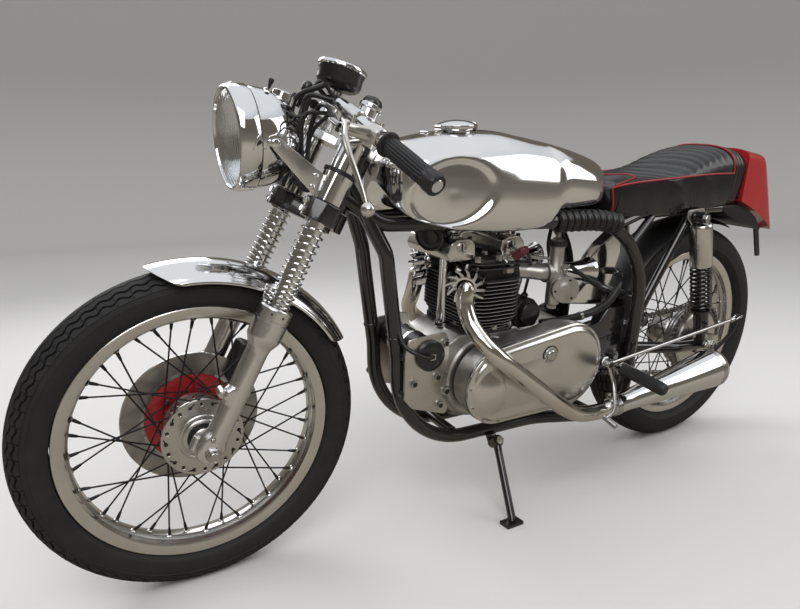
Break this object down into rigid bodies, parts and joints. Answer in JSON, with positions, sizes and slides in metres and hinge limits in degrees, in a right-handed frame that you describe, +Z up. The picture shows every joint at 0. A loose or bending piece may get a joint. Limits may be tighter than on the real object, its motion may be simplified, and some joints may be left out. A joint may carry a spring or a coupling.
{
  "type": "cafe racer motorcycle",
  "caption": "Parallel twin cafe racer with wire wheels, clip-on bars, polished tank and red tail, parked on its side stand",
  "frame": {"origin": "on the floor below the middle of the parked machine's box", "axes": "+X forward, +Y to the rider's left, +Z up; the machine leans to +Y on its stand"},
  "size_m": [2.073, 0.6978, 1.0186],
  "materials": {
    "tyre": "worn satin black rubber",
    "polished_alloy": "hand polished",
    "hub_alloy": "polished",
    "disc_steel": "ground",
    "red_carrier": "gloss red",
    "bright_steel": "bright plated",
    "chrome": "mirror chrome",
    "black_paint": "gloss black",
    "lamp_glass": "clear fluted",
    "black_gauge": "black with bright bezel",
    "black_rubber": "matt black",
    "case_alloy": "cast satin",
    "black_iron": "satin black",
    "chain_steel": "oiled",
    "seat_vinyl": "grained black vinyl",
    "red_fibreglass": "gloss red",
    "black_alloy": "satin black"
  },
  "bodies": {
    "frame": {"primary_chaincase": "polished_alloy", "timing_cover": "polished_alloy", "fuel_tank": "polished_alloy", "rocker_boxes": "polished_alloy", "rear_axle": "bright_steel", "brake_pedal": "bright_steel", "gear_lever": "bright_steel", "filler_cap": "chrome", "exhaust_pipes": "chrome", "silencers": "chrome", "main_frame": "black_paint", "rear_frame": "black_paint", "swing_arm": "black_paint", "rear_mudguard": "black_paint", "dynamo": "black_paint", "rear_shocks": "black_paint", "horn": "black_paint", "footrests": "black_rubber", "rail_sleeve": "black_rubber", "hoses": "black_rubber", "crankcase": "case_alloy", "gearbox": "case_alloy", "cylinder_head": "case_alloy", "engine_plates": "case_alloy", "rear_plates": "case_alloy", "carburettors": "case_alloy", "oil_tank": "case_alloy", "magneto": "case_alloy", "cylinder_barrels": "black_iron", "drive_chain": "chain_steel", "seat_pad": "seat_vinyl", "tail_unit": "red_fibreglass"},
    "steering": {"fork_yokes": "black_paint", "fork_stanchions": "chrome", "fork_sliders": "polished_alloy", "fork_shrouds": "chrome", "front_axle": "bright_steel", "headlamp_shell": "chrome", "headlamp_lens": "lamp_glass", "speedometer": "black_gauge", "clip_ons": "black_paint", "grips": "black_rubber", "hand_levers": "polished_alloy", "front_mudguard": "polished_alloy", "brake_caliper": "black_alloy", "control_cables": "black_rubber"},
    "front_wheel": {"front_tyre": "tyre", "front_rim": "polished_alloy", "front_hub": "hub_alloy", "brake_disc": "disc_steel", "disc_carrier": "red_carrier"},
    "rear_wheel": {"rear_tyre": "tyre", "rear_rim": "polished_alloy", "rear_hub": "hub_alloy"},
    "side_stand": {"side_stand": "black_paint"}
  },
  "joints": [
    {"name": "steering_turn", "type": "hinge", "parent": "frame", "child": "steering", "pos_m": [0.43164, -0.00301, 0.73689], "axis": [-0.4563, 0.1006, 0.8841], "range_deg": [-25, 25]},
    {"name": "front_wheel_spin", "type": "hinge", "parent": "steering", "child": "front_wheel", "pos_m": [0.71319, -0.0502, 0.32204], "axis": [0, 0.9936, -0.113], "continuous": true},
    {"name": "rear_wheel_spin", "type": "hinge", "parent": "frame", "child": "rear_wheel", "pos_m": [-0.70681, -0.04948, 0.3284], "axis": [0, 0.9936, -0.113], "continuous": true},
    {"name": "side_stand_fold", "type": "hinge", "parent": "frame", "child": "side_stand", "pos_m": [0.02819, 0.01815, 0.16199], "axis": [0, 0.8478, 0.5302], "range_deg": [0, 80]}
  ]
}
